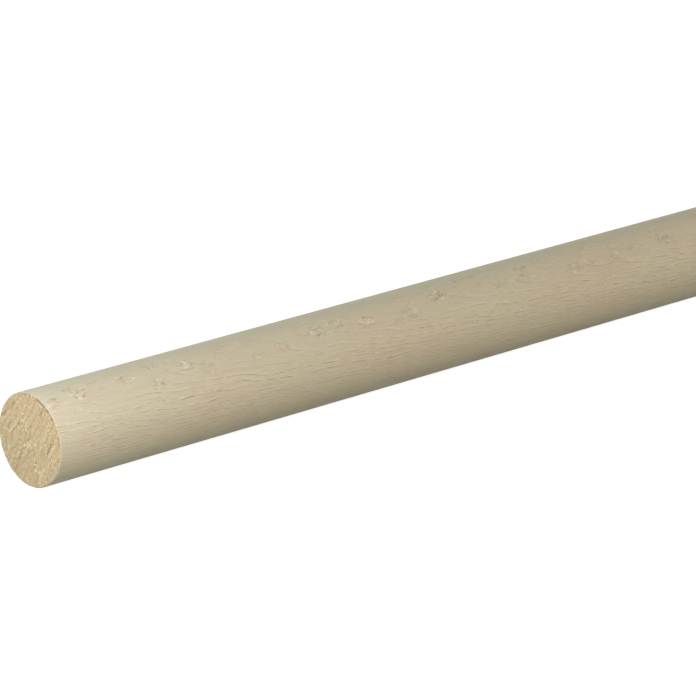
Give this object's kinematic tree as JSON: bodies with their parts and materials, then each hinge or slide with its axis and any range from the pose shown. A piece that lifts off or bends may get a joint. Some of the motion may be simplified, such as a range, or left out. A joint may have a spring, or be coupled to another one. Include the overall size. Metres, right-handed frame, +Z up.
{
  "type": "wooden dowel rod",
  "caption": "Straight round rod of pale beech with square sawn ends and lightly sanded edges, cut to length and fitted into drilled holes or sockets as a rail, pole, axle or peg.",
  "frame": {"origin": "centre of the near sawn end, on the rod's axis", "axes": "+X along the rod from the near end to the far end, +Z up, with the rod lying on its side"},
  "size_m": [1, 0.028, 0.028],
  "materials": {
    "beech": "bare beech, machined round and sanded, sawn end grain"
  },
  "bodies": {
    "root": {"dowel_rod": "beech"}
  },
  "joints": []
}
